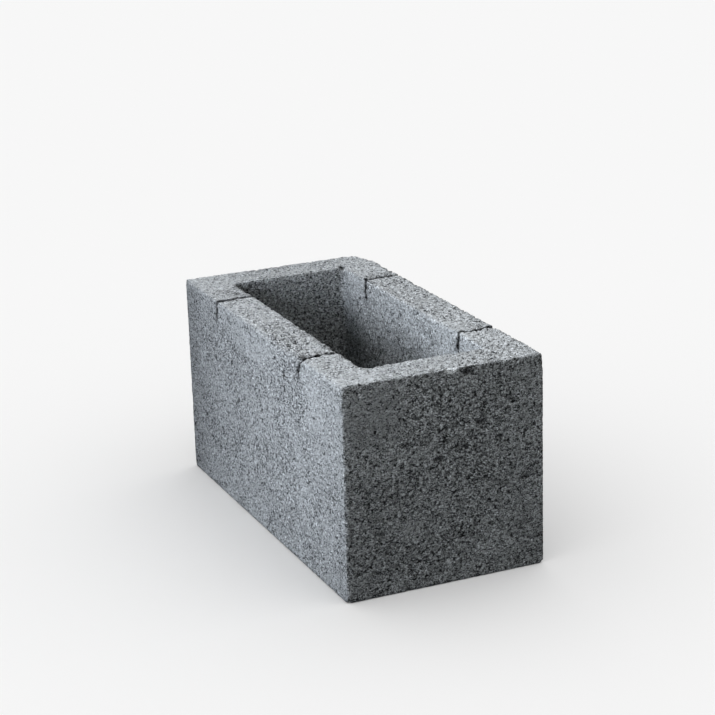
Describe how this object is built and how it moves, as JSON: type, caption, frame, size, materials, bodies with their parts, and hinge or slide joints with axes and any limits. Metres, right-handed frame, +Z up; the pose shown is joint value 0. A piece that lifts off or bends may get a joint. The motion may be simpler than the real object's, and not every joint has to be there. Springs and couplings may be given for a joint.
{
  "type": "concrete block",
  "caption": "Hollow rectangular concrete block with one through core and narrow knock-out slits across the top of its long walls.",
  "frame": {"origin": "centre of the underside, on the surface that the block stands on", "axes": "+X along the length, +Y across the width, +Z up towards the face with the slits"},
  "size_m": [0.39, 0.195, 0.2],
  "materials": {
    "concrete": "rough dry-cast concrete with fine aggregate, matt"
  },
  "bodies": {
    "root": {"concrete_block": "concrete"}
  },
  "joints": []
}
